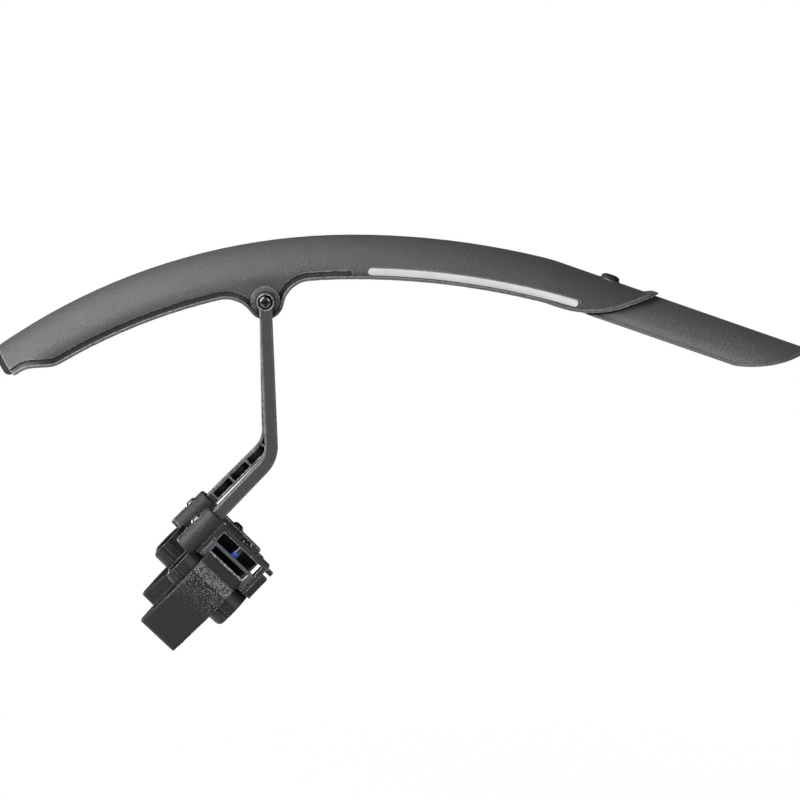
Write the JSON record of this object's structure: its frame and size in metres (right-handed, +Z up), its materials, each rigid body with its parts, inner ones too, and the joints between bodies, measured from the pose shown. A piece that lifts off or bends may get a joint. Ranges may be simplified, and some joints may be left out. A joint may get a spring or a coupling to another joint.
{
  "type": "bicycle mudguard",
  "caption": "Clip-on rear bicycle mudguard: lipped plastic blade with a sliding tail, hung on swinging struts whose brackets are strapped to the seat stays.",
  "frame": {"origin": "centre of the whole part's bounding box", "axes": "+X to the rear of the bicycle, +Y across the wheel to the far side of the picture, +Z up"},
  "size_m": [0.4623, 0.093, 0.233],
  "materials": {
    "blade": "fine-grained matte charcoal",
    "tail": "fine-grained satin charcoal",
    "strut": "satin charcoal",
    "bracket": "satin black",
    "reflector": "light grey reflective",
    "screw": "glossy black",
    "nut": "plain steel",
    "knob": "rough black",
    "bumper": "matte black",
    "pad": "matte black, ribbed",
    "buckle": "satin grey",
    "strap": "black hook-and-loop webbing"
  },
  "bodies": {
    "guard": {"main_guard": "blade", "tail_knob": "knob", "tail_nut": "nut", "front_bumper": "bumper", "near_reflector": "reflector", "far_reflector": "reflector", "near_pivot_screw": "screw", "far_pivot_screw": "screw", "near_pivot_nut": "nut", "far_pivot_nut": "nut"},
    "tail": {"tail_guard": "tail"},
    "near_strut": {"near_strut": "strut"},
    "near_bracket": {"near_bracket": "bracket", "near_set_screw": "screw", "near_clamp_screw": "screw", "near_pad": "pad", "near_buckle": "buckle", "near_strap": "strap"},
    "far_strut": {"far_strut": "strut"},
    "far_bracket": {"far_bracket": "bracket", "far_set_screw": "screw", "far_clamp_screw": "screw", "far_pad": "pad", "far_buckle": "buckle", "far_strap": "strap"}
  },
  "joints": [
    {"name": "tail_slide", "type": "slide", "parent": "guard", "child": "tail", "axis": [0.9438, 0, -0.3305], "range_m": [0, 0.02]},
    {"name": "near_strut_swing", "type": "hinge", "parent": "guard", "child": "near_strut", "pos_m": [-0.0778, 0, 0.0816], "axis": [0, 1, 0], "range_deg": [-40, 40]},
    {"name": "near_bracket_slide", "type": "slide", "parent": "near_strut", "child": "near_bracket", "axis": [-0.6921, 0, -0.7218], "range_m": [-0.006, 0.006]},
    {"name": "far_strut_swing", "type": "hinge", "parent": "guard", "child": "far_strut", "pos_m": [-0.0778, 0, 0.0816], "axis": [0, 1, 0], "range_deg": [-40, 40]},
    {"name": "far_bracket_slide", "type": "slide", "parent": "far_strut", "child": "far_bracket", "axis": [-0.7096, 0, -0.7046], "range_m": [-0.006, 0.004]}
  ]
}
